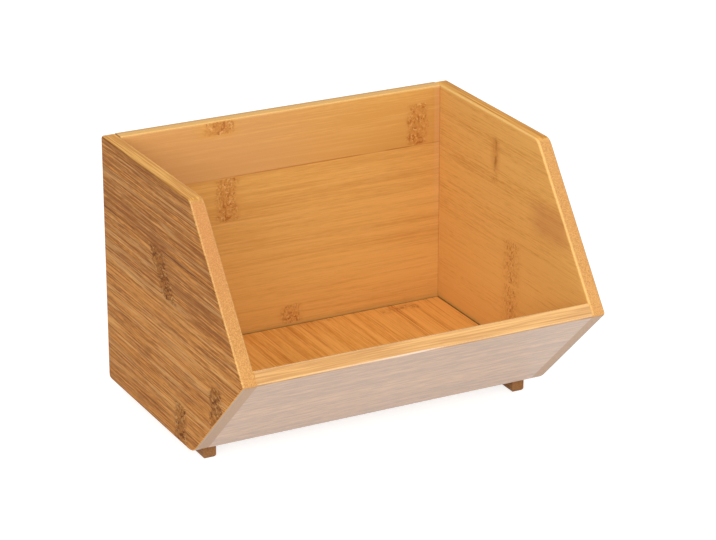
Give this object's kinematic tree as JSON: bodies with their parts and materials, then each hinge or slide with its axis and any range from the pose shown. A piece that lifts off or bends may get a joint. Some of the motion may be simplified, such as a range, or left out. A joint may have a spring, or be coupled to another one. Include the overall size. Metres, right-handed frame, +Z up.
{
  "type": "potato storage bin",
  "caption": "Open-front stacking bin of bamboo boards: convex side panels, straight back, sloping front lip, raised floor and foot rails under it.",
  "frame": {"origin": "on the ground, under the middle of the bin's outline", "axes": "+Z up, +Y towards the closed back, -Y towards the open front, +X to the right of someone facing the open front"},
  "size_m": [0.26, 0.2145, 0.1835],
  "materials": {
    "left_side_bamboo": "satin lacquered bamboo, grain front to back, streaky",
    "right_side_bamboo": "satin lacquered bamboo, grain front to back",
    "back_bamboo": "satin lacquered bamboo, glued up from wide staves, grain left to right",
    "front_bamboo": "satin lacquered bamboo, grain left to right",
    "bottom_bamboo": "satin lacquered bamboo, grain front to back",
    "foot_rail_bamboo": "satin lacquered bamboo",
    "dowel_wood": "bare beech, inside the joints"
  },
  "bodies": {
    "root": {"left_side_panel": "left_side_bamboo", "right_side_panel": "right_side_bamboo", "back_panel": "back_bamboo", "front_panel": "front_bamboo", "bottom_panel": "bottom_bamboo", "left_foot_rail": "foot_rail_bamboo", "right_foot_rail": "foot_rail_bamboo", "left_back_dowels": "dowel_wood", "left_front_dowels": "dowel_wood", "left_bottom_dowels": "dowel_wood", "left_rail_dowels": "dowel_wood", "right_back_dowels": "dowel_wood", "right_front_dowels": "dowel_wood", "right_bottom_dowels": "dowel_wood", "right_rail_dowels": "dowel_wood"}
  },
  "joints": []
}
